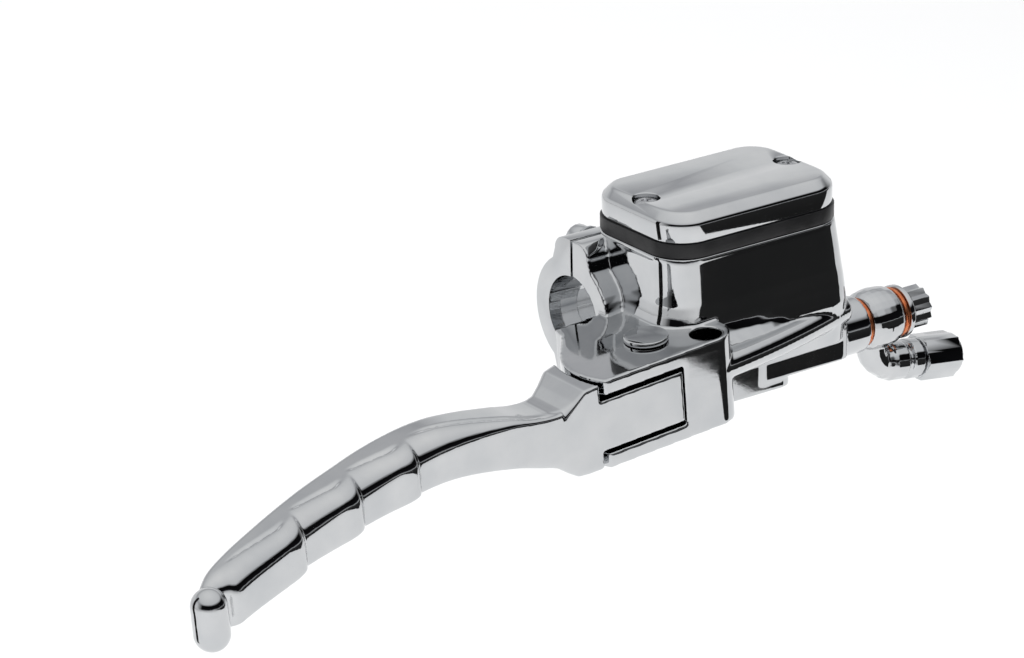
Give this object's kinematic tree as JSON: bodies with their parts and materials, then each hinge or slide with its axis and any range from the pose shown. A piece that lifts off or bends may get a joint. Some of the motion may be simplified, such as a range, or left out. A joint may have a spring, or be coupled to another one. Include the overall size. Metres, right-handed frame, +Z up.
{
  "type": "brake master cylinder",
  "caption": "Chrome front brake master cylinder with a tilted perch, finger-grooved lever, rectangular reservoir, split handlebar clamp and banjo outlet.",
  "frame": {"origin": "on the handlebar's axis, in the middle of the clamp's width", "axes": "+X along the handlebar towards the middle of the motorcycle, +Y towards the rider, +Z up"},
  "size_m": [0.3238, 0.0956, 0.0875],
  "materials": {
    "chrome_plate": "mirror-bright plating",
    "lever_chrome": "mirror-bright plating with a soft polish",
    "zinc_steel": "zinc-plated steel",
    "stainless": "stainless steel",
    "black_rubber": "satin black rubber",
    "copper": "soft annealed copper, crush washer",
    "bronze": "sintered bronze",
    "bare_alloy": "turned aluminium",
    "black_plastic": "moulded plastic",
    "clear_window": "clear moulded window"
  },
  "bodies": {
    "perch": {"cylinder_body": "chrome_plate", "handlebar_clamp": "chrome_plate", "clamp_screw_upper": "chrome_plate", "clamp_screw_lower": "chrome_plate", "clamp_washer_upper": "zinc_steel", "clamp_washer_lower": "zinc_steel", "reservoir_cover": "chrome_plate", "cover_screw_outboard": "stainless", "cover_screw_inboard": "stainless", "reservoir_diaphragm": "black_rubber", "diaphragm_plate": "black_plastic", "splash_plate": "stainless", "sight_glass": "clear_window", "sight_glass_seal": "black_rubber", "thrust_washer_upper": "black_plastic", "thrust_washer_lower": "black_plastic", "pivot_pin": "chrome_plate", "pivot_clip": "zinc_steel", "return_spring": "stainless", "piston_stop_washer": "zinc_steel", "piston_snap_ring": "zinc_steel", "dust_boot": "black_rubber", "banjo_bolt": "chrome_plate", "banjo_washer_inner": "copper", "banjo_washer_outer": "copper", "banjo_fitting": "chrome_plate", "hose_nut": "chrome_plate"},
    "lever": {"brake_lever": "lever_chrome", "lever_bushing": "bronze"},
    "piston": {"piston": "bare_alloy", "primary_cup": "black_rubber", "secondary_cup": "black_rubber"}
  },
  "joints": [
    {"name": "lever_pivot", "type": "hinge", "parent": "perch", "child": "lever", "pos_m": [-0.0139, -0.042, -0.01], "axis": [0.0698, 0, -0.9976], "range_deg": [0, 18], "stiffness_Nm_per_rad": 0.6, "springref_deg": -28.65},
    {"name": "piston_stroke", "type": "slide", "parent": "perch", "child": "piston", "axis": [1, 0, 0], "range_m": [0, 0.0052], "deforming": ["return_spring", "dust_boot"]}
  ],
  "couplings": [
    {"joint": "piston_stroke", "follows": "lever_pivot", "m_per_rad": 0.014}
  ]
}
